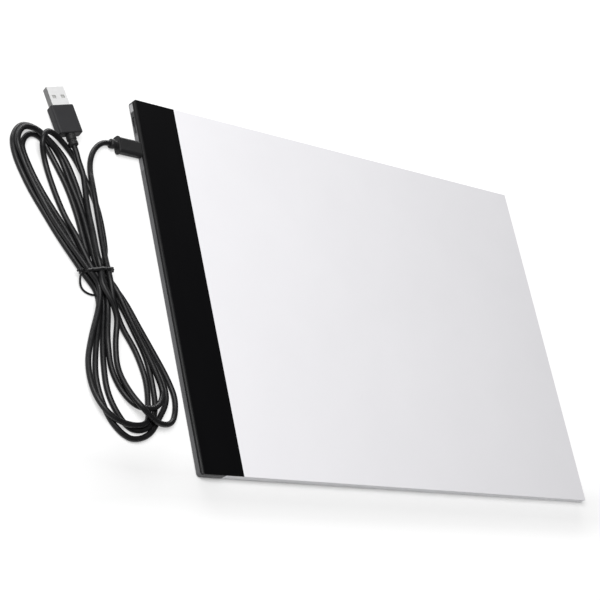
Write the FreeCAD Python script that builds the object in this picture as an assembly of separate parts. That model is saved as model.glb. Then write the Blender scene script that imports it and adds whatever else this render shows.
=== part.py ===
import FreeCAD, Part
import math
import os

# A thin USB-powered light box: a flat pad with a luminous opal face, a black end housing
# along its left short side, and a lead with a micro plug, a tied hank and a USB-A plug.
#
# Frame: +Z up out of the luminous face, +X along the long side away from the end housing,
# +Y along the short side towards the corner with the power button. The origin is the centre
# of the pad's footprint, at the level of the feet's soles. All sizes are in millimetres.

# ---------------------------------------------------------------- driving dimensions

PAD_X = 360.0            # long side
PAD_Y = 240.0            # short side
FOOT_HEIGHT = 0.8
FOOT_RADIUS = 5.0
FOOT_INSET = 15.0        # foot centre from the pad's edges

BACK_SHEET_T = 0.5       # the layers of the luminous part, from the bottom up
REFLECTOR_T = 0.2
GUIDE_T = 3.2
DIFFUSER_T = 0.3
FRONT_SHEET_T = 0.8
MASK_T = 0.2             # black film over the end housing, let into the front sheet beside it
EDGE_TAPE_T = 0.2        # white tape round the light guide's three open edges

HOUSING_W = 18.5         # end housing, along X
HOUSING_WALL = 1.4
HOUSING_END_WALL = 1.2
HOUSING_FLOOR_T = 1.0
COVER_ROOF_T = 0.9
EDGE_RADIUS = 1.8        # rounding from the left side to the face
CORNER_RADIUS = 2.0      # vertical corners of the end housing
MASK_END = 32.1          # right edge of the black film from the left side

BEZEL_BOTTOM = 0.4       # bezels' lower edge above the underside
BEZEL_T = 1.0
BEZEL_FLANGE_T = 0.4
BEZEL_FLANGE = 0.8       # how far the flange reaches past the bezel at each end
PORT_BEZEL_Y = (72.7, 96.4)
BUTTON_BEZEL_Y = (96.6, 117.9)
BUTTON_SLOT_Y = (98.0, 109.0)
BUTTON_SLOT_Z = (1.6, 3.5)

BOARD_T = 0.8
BOARD_UNDERSIDE = 2.2    # height of the control board's underside
BOARD_W = 13.0
BOARD_Y = (60.0, 112.0)
BOARD_GAP = 0.7          # from the side wall's inner face
RIBS_Y = (62.0, 77.0, 94.0, 111.0)    # ribs under the control board
RIB_L = 12.0
RIB_T = 1.0

CONTROLLER_AT = (-168.5, 91.0)
CONTROLLER = (3.9, 4.9, 1.4)          # sizes along X, Y and Z
TRANSISTOR_AT = (-168.5, 77.0)
TRANSISTOR = (1.4, 2.9, 1.0)
CAPACITORS_X = -169.5
CAPACITORS_Y = (82.0, 97.0)
CAPACITOR = (1.25, 2.0, 0.9)
RESISTORS_X = -168.0
RESISTORS_Y = (66.0, 69.0, 72.0, 105.0)
RESISTOR = (1.6, 0.8, 0.45)

SOCKET_Y = 86.2          # centre line of the micro USB socket and plug
SOCKET_Z = 3.0
SOCKET_W = 7.5
SOCKET_H = 2.3
SOCKET_DEPTH = 5.6
SOCKET_RECESS = 1.4      # mouth of the socket, in from the left side
SOCKET_WALL = 0.2
PORT_MARGIN = 0.15       # port's lower edge below the plug's shell
FIT_GAP = 0.1            # between parts that are assembled without force

SOCKET_TABS_Y = (1.0, 3.8)     # solder tabs, from the socket's back
SOCKET_TAB = (1.1, 0.9, 0.2)   # reach from the shell, length, thickness
TONGUE_W = 3.8
TONGUE_T = 0.45
TONGUE_ROOT = 1.2        # thickness of the block behind the tongue
TONGUE_L = 3.6

CONTACT_COUNT = 5        # contacts of the micro plug and of its socket
CONTACT_PITCH = 0.65
CONTACT_W = 0.4
CONTACT_T = 0.1

BUTTON_TRAVEL = 0.35
BUTTON_CLEARANCE = 0.3
BUTTON_RECESS = 0.4      # cap's face, in from the left side
BUTTON_FLANGE_T = 0.6
BUTTON_FLANGE = 0.9      # how far the flange reaches past the cap at each end
BUTTON_NOTCH_W = 13.2    # notch in the control board behind the cap
BUTTON_EDGE = 0.3        # rounding of the cap's front edges

SWITCH_FRONT = 3.4       # front of the switch body, in from the left side
SWITCH_L = 3.2
SWITCH_W = 6.0
SWITCH_H = 1.2
SWITCH_TABS_W = 7.6
PLUNGER_L = 1.1
PLUNGER_W = 2.6
PLUNGER_H = 0.6

STRIP_GAP = 0.1          # leds to the light guide's edge tape
LED_COUNT = 48
LED_PITCH = 4.8
LED_L = 3.0
LED_H = 1.4
LED_T = 0.8
STRIP_T = 0.6
STRIP_H = 2.6
STRIP_L = 232.0
STRIP_RESISTOR = (0.45, 1.6, 0.8)
LEDS_PER_RESISTOR = 3

CABLE_D = 3.4
WIRE_D = 0.8

MICRO_SHELL_W = 6.85
MICRO_SHELL_H = 1.7
MICRO_SHELL_WALL = 0.25
MICRO_BODY_W = 10.6
MICRO_BODY_H = 5.2
MICRO_BODY_L = 17.6
MICRO_BODY_GAP = 0.3     # plug body to the pad's side when pushed home
MICRO_RIM = (0.45, 0.25, 1.9)  # proud at the sides, proud above, length
MICRO_RIM_EDGE = 0.7
MICRO_FRONT_EDGE = 0.4
MICRO_REACH = 4.1        # tip of the shell past the socket's mouth
MICRO_EDGE = 1.9         # rounding of the body's long edges

USB_SHELL_W = 12.0
USB_SHELL_H = 4.5
USB_SHELL_L = 12.3       # exposed length
USB_SHELL_WALL = 0.3
USB_BODY_W = 15.4
USB_BODY_H = 6.3
USB_BODY_L = 18.8
USB_EDGE = 1.3
USB_END_EDGE = 0.8
USB_WINDOW = (2.4, 2.2)  # latch windows, across and along the shell
USB_WINDOW_X = 2.9
USB_WINDOW_Y = 5.6       # middle of a window, from the body
USB_TONGUE_T = 1.8
USB_BLOCK_L = 3.0
USB_CONTACTS = ((-3.5, 7.2), (-1.0, 6.2), (1.0, 6.2), (3.5, 7.2))    # place across, length
USB_CONTACT_W = 1.0
USB_CONTACT_T = 0.15
USB_CONTACT_INSET = 1.6  # front ends of the contacts, in from the shell's mouth
SHELL_ROOT = 4.0         # length of a plug's shell inside its moulded body
SHELL_EDGE = 0.5         # rounding of a plug shell's long edges

# rear centre of the USB-A plug's body, and how the plug lies: it leans on one long edge
USB_PLUG_AT = (-234.9, 83.8, 5.75)
USB_PLUG_YAW = 10.2
USB_PLUG_ROLL = -10.4
USB_PLUG_PITCH = -3.8

# outlines of the strain reliefs, as (distance behind the plug's body, radius)
MICRO_RELIEF = [(0.0, 2.6), (1.9, 2.6), (2.6, 2.95), (4.5, 2.95), (5.2, 2.4)]
USB_RELIEF = [
    (0.0, 2.7), (0.9, 2.7), (1.3, 3.0), (3.6, 2.95), (4.0, 2.6), (4.8, 2.6), (5.2, 2.9), (7.0, 2.85),
    (7.7, 2.1),
]

TIE_AT = (-232.2, -2.0)
TIE_ANGLE = 12.0         # direction of the tie across the hank, from +X
TIE_INNER_W = 24.4
TIE_HEIGHT = 11.6
TIE_T = 0.9
TIE_W = 1.9
TIE_CORNER = 3.2
TIE_END_D = 1.6          # twisted end of the tie

HANK_HEIGHT = 8.6

# ---------------------------------------------------------------- levels and edges

LEFT = -PAD_X / 2
RIGHT = PAD_X / 2
FRONT = -PAD_Y / 2
BACK = PAD_Y / 2

UNDERSIDE = FOOT_HEIGHT
Z_REFLECTOR = UNDERSIDE + BACK_SHEET_T
Z_GUIDE = Z_REFLECTOR + REFLECTOR_T
Z_DIFFUSER = Z_GUIDE + GUIDE_T
Z_FRONT_SHEET = Z_DIFFUSER + DIFFUSER_T
TOP = Z_FRONT_SHEET + FRONT_SHEET_T
Z_MASK = TOP - MASK_T

HOUSING_END = LEFT + HOUSING_W
HOUSING_FLOOR = UNDERSIDE + HOUSING_FLOOR_T
ROOF_UNDERSIDE = Z_MASK - COVER_ROOF_T
SIDE_TOP = TOP - EDGE_RADIUS
WALL_INNER = LEFT + HOUSING_WALL

BOARD_LEFT = WALL_INNER + BOARD_GAP
BOARD_TOP = BOARD_UNDERSIDE + BOARD_T
SOCKET_MOUTH = LEFT + SOCKET_RECESS
SOCKET_BACK = SOCKET_MOUTH + SOCKET_DEPTH
BUTTON_Y = sum(BUTTON_SLOT_Y) / 2
BUTTON_Z = sum(BUTTON_SLOT_Z) / 2

# ---------------------------------------------------------------- routes of the lead

# Points of the free stretches of the cable, from the micro plug to the hank and from the
# hank to the USB-A plug.
LEAD_ROUTE = [
    (-203.1, 86.2, 3.0),
    (-206.6, 86.2, 3.0),
    (-211.4, 83.7, 2.9),
    (-214.8, 80.5, 2.6),
    (-217.5, 76.7, 2.3),
    (-219.8, 71.3, 2.0),
    (-221.4, 64.2, 2.2),
    (-222.8, 56.8, 3.9),
    (-223.4, 49.5, 4.7),
]
TAIL_ROUTE = [
    (-233.63, 76.22, 6.25),
    (-232.97, 72.28, 6.51),
    (-231.9, 67.67, 5.7),
]

# Outline of the tied hank as it lies: a wide upper lobe, a waist at the tie, a lower lobe.
HANK_OUTLINE = [
    (-219.6, 1.5),
    (-217.3, 22.0),
    (-219.2, 46.0),
    (-228.2, 66.0),
    (-236.4, 75.0),
    (-245.8, 84.8),
    (-254.0, 88.2),
    (-267.5, 87.6),
    (-279.8, 72.0),
    (-273.6, 41.5),
    (-256.0, 14.0),
    (-244.6, -4.6),
    (-244.0, -37.0),
    (-249.6, -66.0),
    (-240.0, -92.0),
    (-222.5, -103.7),
    (-201.5, -95.8),
    (-186.8, -76.0),
    (-193.0, -46.0),
    (-211.5, -19.5),
]

# Loose end of the twist tie, from the twist at the hank's side along the floor.
TIE_TAIL_ROUTE = [
    (-244.2, -4.6, 4.4),
    (-244.6, -8.0, 3.0),
    (-243.8, -11.4, 1.7),
    (-240.8, -14.2, 1.0),
    (-236.4, -15.9, 0.9),
    (-231.4, -15.4, 0.9),
]

# ---------------------------------------------------------------- shape helpers


def vec(x, y, z):
    return FreeCAD.Vector(x, y, z)


def box(x_range, y_range, z_range):
    """A box from its low and high coordinates."""
    low = vec(x_range[0], y_range[0], z_range[0])
    size = [x_range[1] - x_range[0], y_range[1] - y_range[0], z_range[1] - z_range[0]]
    return Part.makeBox(size[0], size[1], size[2], low)


def span(centre, length):
    """Low and high ends of a length about a centre."""
    return (centre - length / 2, centre + length / 2)


def edges_along(shape, direction):
    """Straight edges of a shape that run along a direction."""
    found = []
    for edge in shape.Edges:
        if isinstance(edge.Curve, Part.Line):
            if abs(abs(edge.Curve.Direction.dot(direction)) - 1) < 1e-6:
                found.append(edge)
    return found


def edges_at_y(shape, y):
    """Edges of a shape that lie in the plane of one y value."""
    return [edge for edge in shape.Edges
            if abs(edge.BoundBox.YMin - y) < 1e-6 and abs(edge.BoundBox.YMax - y) < 1e-6]


def rounded_bar(width, height, y_range, radius):
    """A bar along Y with its long edges rounded, centred on the Y axis."""
    bar = box(span(0, width), y_range, span(0, height))
    return bar.makeFillet(radius, edges_along(bar, vec(0, 1, 0)))


def rounded_tube(width, height, y_range, radius, wall):
    """A hollow rounded bar, open at both ends."""
    outer = rounded_bar(width, height, y_range, radius)
    inner = rounded_bar(width - 2 * wall, height - 2 * wall, y_range, radius - wall)
    return outer.cut(inner)


def disc(x, y, z, radius, height):
    return Part.makeCylinder(radius, height, vec(x, y, z))


def chip(x, y, length_x, length_y, height):
    """A small component standing on the control board."""
    return box(span(x, length_x), span(y, length_y), (BOARD_TOP, BOARD_TOP + height))


def revolved(profile):
    """A solid turned about the Y axis from (y, radius) pairs, closed on the axis."""
    points = [vec(0, profile[0][0], 0)]
    points += [vec(radius, y, 0) for y, radius in profile]
    points += [vec(0, profile[-1][0], 0), vec(0, profile[0][0], 0)]
    face = Part.Face(Part.makePolygon(points))
    return face.revolve(vec(0, 0, 0), vec(0, 1, 0), 360)


def path_with_arcs(name, points):
    """Straight runs joined by tangent arcs, each as large as its two runs allow."""
    nodes = [vec(*point) for point in points]
    edges = []
    radii = []
    start = nodes[0]
    for before, corner, after in zip(nodes, nodes[1:], nodes[2:]):
        run_in = (corner - before).Length
        run_out = (after - corner).Length
        direction_in = (corner - before).normalize()
        direction_out = (after - corner).normalize()
        half_turn = direction_in.getAngle(direction_out) / 2
        setback = 0.45 * min(run_in, run_out)
        radius = setback / math.tan(half_turn)
        arc_start = corner - direction_in * setback
        arc_end = corner + direction_out * setback
        to_centre = (direction_out - direction_in).normalize()
        centre = corner + to_centre * (radius / math.cos(half_turn))
        arc_middle = centre - to_centre * radius
        edges.append(Part.LineSegment(start, arc_start).toShape())
        edges.append(Part.Arc(arc_start, arc_middle, arc_end).toShape())
        radii.append(round(radius, 1))
        start = arc_end
    edges.append(Part.LineSegment(start, nodes[-1]).toShape())
    print(name, "arc radii", radii)
    return Part.Wire(edges)


def cord(name, points, diameter):
    """A round cord along a route."""
    path = path_with_arcs(name, points)
    direction = vec(*points[1]) - vec(*points[0])
    section = Part.Wire(Part.Circle(vec(*points[0]), direction, diameter / 2).toShape())
    solid = path.makePipeShell([section], True, False)
    expected = math.pi * (diameter / 2) ** 2 * path.Length
    print(name, "length", round(path.Length, 1), "volume ratio", round(solid.Volume / expected, 3))
    return solid


# ---------------------------------------------------------------- the luminous part


def layer(z, thickness, inset=0.0):
    """One sheet of the luminous part, from the end housing to the right edge."""
    return box((HOUSING_END, RIGHT - inset), (FRONT + inset, BACK - inset), (z, z + thickness))


def edge_tape():
    """White tape that closes the light guide's three open edges."""
    height = Z_FRONT_SHEET - Z_REFLECTOR
    return layer(Z_REFLECTOR, height).cut(layer(Z_REFLECTOR, height, EDGE_TAPE_T))


def front_sheet():
    """Opal sheet, with a shallow step along its left edge for the black film."""
    step = box((HOUSING_END - 1, LEFT + MASK_END), (FRONT - 1, BACK + 1), (Z_MASK, TOP + 1))
    return layer(Z_FRONT_SHEET, FRONT_SHEET_T).cut(step)


def mask_film():
    film = box((LEFT + EDGE_RADIUS, LEFT + MASK_END), (FRONT, BACK), (Z_MASK, TOP))
    return film.common(housing_plan(Z_MASK, TOP, LEFT + MASK_END))


def rubber_feet():
    corners = [(x, y) for x in (LEFT + FOOT_INSET, RIGHT - FOOT_INSET)
               for y in (FRONT + FOOT_INSET, BACK - FOOT_INSET)]
    return Part.makeCompound([disc(x, y, 0, FOOT_RADIUS, FOOT_HEIGHT) for x, y in corners])


# ---------------------------------------------------------------- the end housing


def housing_plan(z_low, z_high, x_end):
    """A plate with the end housing's outline, its two left corners rounded."""
    plate = box((LEFT, x_end), (FRONT, BACK), (z_low, z_high))
    corners = [edge for edge in edges_along(plate, vec(0, 0, 1)) if edge.BoundBox.XMax < LEFT + 1]
    return plate.makeFillet(CORNER_RADIUS, corners)


def bezel_cut(y_range):
    """Room for a bezel in the housing's left wall, open at the top."""
    return box((LEFT - 1, WALL_INNER), y_range, (UNDERSIDE + BEZEL_BOTTOM, SIDE_TOP))


def housing_base():
    """Tray with the floor, the lower side wall and the lower end walls."""
    tray = housing_plan(UNDERSIDE, SIDE_TOP, HOUSING_END)
    hollow_y = (FRONT + HOUSING_END_WALL, BACK - HOUSING_END_WALL)
    hollow = box((WALL_INNER, HOUSING_END + 1), hollow_y, (HOUSING_FLOOR, SIDE_TOP))
    tray = tray.cut(hollow)
    for y_range in (PORT_BEZEL_Y, BUTTON_BEZEL_Y):
        tray = tray.cut(bezel_cut(y_range))
    rib_x = span(BOARD_LEFT + BOARD_W / 2, RIB_L)
    for y in RIBS_Y:
        tray = tray.fuse(box(rib_x, span(y, RIB_T), (HOUSING_FLOOR, BOARD_UNDERSIDE)))
    return tray.removeSplitter()


def housing_cover():
    """Roof with the rounded edge that turns down to the left side."""
    bend = EDGE_RADIUS * math.sqrt(0.5)
    arc_low = vec(LEFT, FRONT, SIDE_TOP)
    arc_middle = vec(LEFT + EDGE_RADIUS - bend, FRONT, SIDE_TOP + bend)
    arc_high = vec(LEFT + EDGE_RADIUS, FRONT, TOP)
    inside = [
        arc_high,
        vec(LEFT + EDGE_RADIUS, FRONT, Z_MASK),
        vec(HOUSING_END, FRONT, Z_MASK),
        vec(HOUSING_END, FRONT, ROOF_UNDERSIDE),
        vec(WALL_INNER, FRONT, ROOF_UNDERSIDE),
        vec(WALL_INNER, FRONT, SIDE_TOP),
        arc_low,
    ]
    outline = [Part.Arc(arc_low, arc_middle, arc_high).toShape()]
    outline += Part.makePolygon(inside).Edges
    roof = Part.Face(Part.Wire(outline)).extrude(vec(0, PAD_Y, 0))
    end_wall_x = (WALL_INNER, HOUSING_END)
    for y_range in ((FRONT, FRONT + HOUSING_END_WALL), (BACK - HOUSING_END_WALL, BACK)):
        roof = roof.fuse(box(end_wall_x, y_range, (SIDE_TOP, ROOF_UNDERSIDE)))
    return roof.common(housing_plan(SIDE_TOP, TOP, HOUSING_END)).removeSplitter()


def bezel(y_range):
    """A plate set in the left wall, with a flange behind the wall."""
    z_range = (UNDERSIDE + BEZEL_BOTTOM, SIDE_TOP)
    flange_z = (HOUSING_FLOOR, SIDE_TOP)
    plate = box((LEFT, WALL_INNER), y_range, z_range)
    flange_y = (y_range[0] + BEZEL_FLANGE, y_range[1] - BEZEL_FLANGE)
    flange = box((WALL_INNER, WALL_INNER + BEZEL_FLANGE_T), flange_y, flange_z)
    relief = box((LEFT + BEZEL_T, WALL_INNER), flange_y, (z_range[0], HOUSING_FLOOR))
    return plate.fuse(flange).cut(relief)


def port_bezel():
    mouth_w = MICRO_SHELL_W + 2 * BUTTON_CLEARANCE
    mouth_z = (SOCKET_Z - MICRO_SHELL_H / 2 - PORT_MARGIN, SIDE_TOP + 1)
    mouth = box((LEFT - 1, LEFT + BEZEL_T), span(SOCKET_Y, mouth_w), mouth_z)
    socket_room = box((LEFT + BEZEL_T, WALL_INNER + 1), span(SOCKET_Y, SOCKET_W + 2 * FIT_GAP), (0, TOP))
    return bezel(PORT_BEZEL_Y).cut(mouth).cut(socket_room)


def button_bezel():
    slot = box((LEFT - 1, WALL_INNER + 1), BUTTON_SLOT_Y, BUTTON_SLOT_Z)
    return bezel(BUTTON_BEZEL_Y).cut(slot)


# ---------------------------------------------------------------- lights and electronics


def strip_back():
    """The led strip's rear face, where its leads and resistors are."""
    return HOUSING_END - STRIP_GAP - LED_T - STRIP_T


def led_strip_board():
    x_low = strip_back()
    z_range = span((Z_GUIDE + Z_DIFFUSER) / 2, STRIP_H)
    return box((x_low, x_low + STRIP_T), span(0, STRIP_L), z_range)


def leds():
    x_low = strip_back() + STRIP_T
    z_range = span((Z_GUIDE + Z_DIFFUSER) / 2, LED_H)
    first = -(LED_COUNT - 1) * LED_PITCH / 2
    row = []
    for number in range(LED_COUNT):
        y_range = span(first + number * LED_PITCH, LED_L)
        row.append(box((x_low, x_low + LED_T), y_range, z_range))
    return Part.makeCompound(row)


def strip_resistors():
    """One resistor behind each group of leds."""
    x_high = strip_back()
    height, length, width = STRIP_RESISTOR
    z_range = span((Z_GUIDE + Z_DIFFUSER) / 2, width)
    first = -(LED_COUNT - 1) * LED_PITCH / 2
    row = []
    for number in range(1, LED_COUNT, LEDS_PER_RESISTOR):
        y_range = span(first + number * LED_PITCH, length)
        row.append(box((x_high - height, x_high), y_range, z_range))
    return Part.makeCompound(row)


def control_board():
    board = box((BOARD_LEFT, BOARD_LEFT + BOARD_W), BOARD_Y, (BOARD_UNDERSIDE, BOARD_TOP))
    z_through = (BOARD_UNDERSIDE - 1, BOARD_TOP + 1)
    gap = 2 * FIT_GAP
    button_reach = button_flange_x()[1] + BUTTON_TRAVEL
    socket_notch = box((BOARD_LEFT - 1, SOCKET_BACK + gap), span(SOCKET_Y, SOCKET_W + 2 * gap), z_through)
    button_notch = box((BOARD_LEFT - 1, button_reach + gap), span(BUTTON_Y, BUTTON_NOTCH_W), z_through)
    switch_notch = box((BOARD_LEFT - 1, switch_x()[1] + gap), span(BUTTON_Y, SWITCH_W + 2 * gap), z_through)
    return board.cut(socket_notch).cut(button_notch).cut(switch_notch)


def board_capacitors():
    return Part.makeCompound([chip(CAPACITORS_X, y, *CAPACITOR) for y in CAPACITORS_Y])


def board_resistors():
    return Part.makeCompound([chip(RESISTORS_X, y, *RESISTOR) for y in RESISTORS_Y])


def lead_wire(y_shift):
    """One of the two wires from the control board to the led strip."""
    height = BOARD_TOP + WIRE_D / 2
    route = [
        (-168.8, 62.6 + y_shift, height),
        (-166.4, 61.9 + y_shift, height + 0.25),
        (-165.3, 59.9 + y_shift, height + 0.3),
        (strip_back(), 58.6 + y_shift, height + 0.05),
    ]
    wire = cord("wire to the led strip", route, WIRE_D)
    return wire.cut(led_strip_board())


def micro_usb_socket():
    """Sheet metal shell of the socket, with two solder tabs on each side."""
    depth = (0, SOCKET_DEPTH)
    shell = rounded_tube(SOCKET_W, SOCKET_H, depth, 0.6, SOCKET_WALL)
    reach, length, thickness = SOCKET_TAB
    tab_z = (BOARD_TOP - SOCKET_Z, BOARD_TOP - SOCKET_Z + thickness)
    for y in SOCKET_TABS_Y:
        for side in (-1, 1):
            tab_middle = side * (SOCKET_W / 2 - SOCKET_WALL / 2 + reach / 2)
            shell = shell.fuse(box(span(tab_middle, reach), span(y, length), tab_z))
    return along_socket(shell, SOCKET_BACK, -1)


def along_socket(shape, x, heading):
    """Puts a shape made along Y on the socket's line: heading +1 points into the pad."""
    shape.rotate(vec(0, 0, 0), vec(0, 0, 1), -90 * heading)
    shape.translate(vec(x, SOCKET_Y, SOCKET_Z))
    return shape


def socket_tongue():
    """Insulator: a block at the socket's back with a thin tongue towards its mouth."""
    inner_w = SOCKET_W - 2 * SOCKET_WALL - FIT_GAP
    inner_h = SOCKET_H - 2 * SOCKET_WALL - FIT_GAP
    block = rounded_bar(inner_w, inner_h, (0, TONGUE_ROOT), 0.35)
    tongue = box(span(0, TONGUE_W), (TONGUE_ROOT, TONGUE_ROOT + TONGUE_L), (0.0, TONGUE_T))
    insulator = along_socket(block.fuse(tongue), SOCKET_BACK, -1)
    return insulator.cut(socket_contacts())


def contact_row(x_range, z_low):
    """Flat contact strips that run along X, side by side about the socket's centre line."""
    row = []
    for number in range(CONTACT_COUNT):
        y = SOCKET_Y + (number - (CONTACT_COUNT - 1) / 2) * CONTACT_PITCH
        row.append(box(x_range, span(y, CONTACT_W), (z_low, z_low + CONTACT_T)))
    return Part.makeCompound(row)


def socket_contacts():
    """Strips under the tongue, whose tails lie on the control board."""
    return contact_row((SOCKET_BACK - 4.6, SOCKET_BACK + 1.5), SOCKET_Z)


# ---------------------------------------------------------------- power button


def switch_x():
    """Front and back of the switch body."""
    front = LEFT + SWITCH_FRONT
    return (front, front + SWITCH_L)


def switch_body():
    """Block with a pocket for the plunger and a solder tab at each end."""
    front, back = switch_x()
    body = box((front, back), span(BUTTON_Y, SWITCH_W), span(BUTTON_Z, SWITCH_H))
    tabs_x = (front + 0.4, back - 0.4)
    tabs = box(tabs_x, span(BUTTON_Y, SWITCH_TABS_W), (BOARD_TOP, BOARD_TOP + 0.2))
    pocket_y = span(BUTTON_Y, PLUNGER_W + 2 * BUTTON_CLEARANCE)
    pocket_z = span(BUTTON_Z, PLUNGER_H + BUTTON_CLEARANCE)
    pocket = box((front - 1, front + 0.9), pocket_y, pocket_z)
    return body.fuse(tabs).cut(pocket)


def button_flange_x():
    """Retaining flange of the button cap, just behind the bezel's flange."""
    front = WALL_INNER + BEZEL_FLANGE_T + BUTTON_CLEARANCE
    return (front, front + BUTTON_FLANGE_T)


def switch_plunger():
    x_range = (button_flange_x()[1], button_flange_x()[1] + PLUNGER_L)
    return box(x_range, span(BUTTON_Y, PLUNGER_W), span(BUTTON_Z, PLUNGER_H))


def power_button():
    """Bar-shaped cap in the slot, with softened front edges."""
    length = BUTTON_SLOT_Y[1] - BUTTON_SLOT_Y[0] - 2 * BUTTON_CLEARANCE
    height = BUTTON_SLOT_Z[1] - BUTTON_SLOT_Z[0] - 2 * BUTTON_CLEARANCE
    face_x = LEFT + BUTTON_RECESS
    cap = box((face_x, button_flange_x()[0]), span(BUTTON_Y, length), span(BUTTON_Z, height))
    front_edges = [edge for edge in cap.Edges if edge.BoundBox.XMax < face_x + 0.01]
    cap = cap.makeFillet(BUTTON_EDGE, front_edges)
    flange_y = span(BUTTON_Y, length + 2 * BUTTON_FLANGE)
    flange = box(button_flange_x(), flange_y, span(BUTTON_Z, height))
    return cap.fuse(flange)


# ---------------------------------------------------------------- micro plug

# The micro plug is made along +Y from the rear of its moulded body, then turned to +X.


def micro_shell_range():
    tip = MICRO_BODY_L + MICRO_BODY_GAP + SOCKET_RECESS + MICRO_REACH
    return (MICRO_BODY_L - SHELL_ROOT, tip)


def place_micro(shape):
    return along_socket(shape, LEFT - MICRO_BODY_GAP - MICRO_BODY_L, 1)


def micro_plug_shell():
    size = (MICRO_SHELL_W, MICRO_SHELL_H)
    return place_micro(rounded_tube(*size, micro_shell_range(), SHELL_EDGE, MICRO_SHELL_WALL))


def micro_plug_insert():
    """Insulator in the shell: a full block at the root and a shelf under the contacts."""
    root, tip = micro_shell_range()
    width = MICRO_SHELL_W - 2 * MICRO_SHELL_WALL
    height = MICRO_SHELL_H - 2 * MICRO_SHELL_WALL
    insert = rounded_bar(width, height, (root, tip - 0.3), SHELL_EDGE - MICRO_SHELL_WALL)
    recess = box(span(0, width + 1), (MICRO_BODY_L + 0.3, tip), (-0.2, height))
    return place_micro(insert.cut(recess))


def micro_plug_contacts():
    x_tip = LEFT + SOCKET_RECESS + MICRO_REACH - 0.5
    return contact_row((LEFT + 0.05, x_tip), SOCKET_Z - 2 * CONTACT_T)


def micro_plug_body():
    side, above, length = MICRO_RIM
    body = rounded_bar(MICRO_BODY_W, MICRO_BODY_H, (0, MICRO_BODY_L), MICRO_EDGE)
    body = body.makeFillet(MICRO_FRONT_EDGE, edges_at_y(body, MICRO_BODY_L))
    rim = rounded_bar(MICRO_BODY_W + 2 * side, MICRO_BODY_H + 2 * above, (0, length), MICRO_EDGE)
    rim = rim.makeFillet(MICRO_RIM_EDGE, edges_at_y(rim, 0) + edges_at_y(rim, length))
    body = body.fuse(rim)
    pocket = rounded_bar(MICRO_SHELL_W, MICRO_SHELL_H, micro_shell_range(), SHELL_EDGE)
    return place_micro(body.cut(pocket))


def strain_relief(outline):
    return revolved([(-behind, radius) for behind, radius in outline])


def micro_strain_relief():
    return place_micro(strain_relief(MICRO_RELIEF))


# ---------------------------------------------------------------- USB-A plug

# The USB-A plug is made along +Y from the rear of its moulded body, then laid down.


def place_usb(shape):
    turn = FreeCAD.Rotation(USB_PLUG_YAW, USB_PLUG_ROLL, USB_PLUG_PITCH)
    placement = FreeCAD.Placement(vec(*USB_PLUG_AT), turn)
    return placed(shape, placement)


def placed(shape, placement):
    moved = shape.copy()
    moved.Placement = placement
    return moved


def usb_shell_range():
    return (USB_BODY_L - SHELL_ROOT, USB_BODY_L + USB_SHELL_L)


def usb_plug_shell():
    """Sheet metal shell with two latch windows in each broad face."""
    shell = rounded_tube(USB_SHELL_W, USB_SHELL_H, usb_shell_range(), SHELL_EDGE, USB_SHELL_WALL)
    width, length = USB_WINDOW
    window_y = span(USB_BODY_L + USB_WINDOW_Y, length)
    for x in (-USB_WINDOW_X, USB_WINDOW_X):
        shell = shell.cut(box(span(x, width), window_y, (-USB_SHELL_H, USB_SHELL_H)))
    return place_usb(shell)


def usb_plug_insert():
    """Insulator: a block at the root and a thick tongue at the upper side."""
    root, tip = usb_shell_range()
    width = USB_SHELL_W - 2 * USB_SHELL_WALL - 0.4
    high = USB_SHELL_H / 2 - USB_SHELL_WALL - FIT_GAP
    tongue_root = root + USB_BLOCK_L
    block = box(span(0, width), (root, tongue_root), (-high, high))
    tongue = box(span(0, width), (tongue_root, tip - 0.6), (high - USB_TONGUE_T, high))
    return place_usb(block.fuse(tongue).removeSplitter())


def usb_plug_contacts():
    z_high = USB_SHELL_H / 2 - USB_SHELL_WALL - FIT_GAP - USB_TONGUE_T
    front = usb_shell_range()[1] - USB_CONTACT_INSET
    strips = []
    for x, length in USB_CONTACTS:
        z_range = (z_high - USB_CONTACT_T, z_high)
        strips.append(box(span(x, USB_CONTACT_W), (front - length, front), z_range))
    return place_usb(Part.makeCompound(strips))


def usb_plug_body():
    body = rounded_bar(USB_BODY_W, USB_BODY_H, (0, USB_BODY_L), USB_EDGE)
    body = body.makeFillet(USB_END_EDGE, edges_at_y(body, 0) + edges_at_y(body, USB_BODY_L))
    pocket = rounded_bar(USB_SHELL_W, USB_SHELL_H, usb_shell_range(), SHELL_EDGE)
    return place_usb(body.cut(pocket))


def usb_strain_relief():
    return place_usb(strain_relief(USB_RELIEF))


# ---------------------------------------------------------------- hank and tie


def cable_hank():
    """Outer shape of the tied hank of cable."""
    outline = Part.BSplineCurve()
    outline.interpolate(Points=[vec(x, y, 0) for x, y in HANK_OUTLINE], PeriodicFlag=True)
    return Part.Face(Part.Wire(outline.toShape())).extrude(vec(0, 0, HANK_HEIGHT))


def twist_tie():
    """Band round the hank's waist, with its twisted end lying beside the hank."""
    ring = rounded_tube(TIE_INNER_W + 2 * TIE_T, TIE_HEIGHT, span(0, TIE_W), TIE_CORNER, TIE_T)
    ring.rotate(vec(0, 0, 0), vec(0, 0, 1), TIE_ANGLE)
    ring.translate(vec(TIE_AT[0], TIE_AT[1], TIE_HEIGHT / 2))
    return ring.fuse(cord("twist tie tail", TIE_TAIL_ROUTE, TIE_END_D))


# ---------------------------------------------------------------- all nodes

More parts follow.
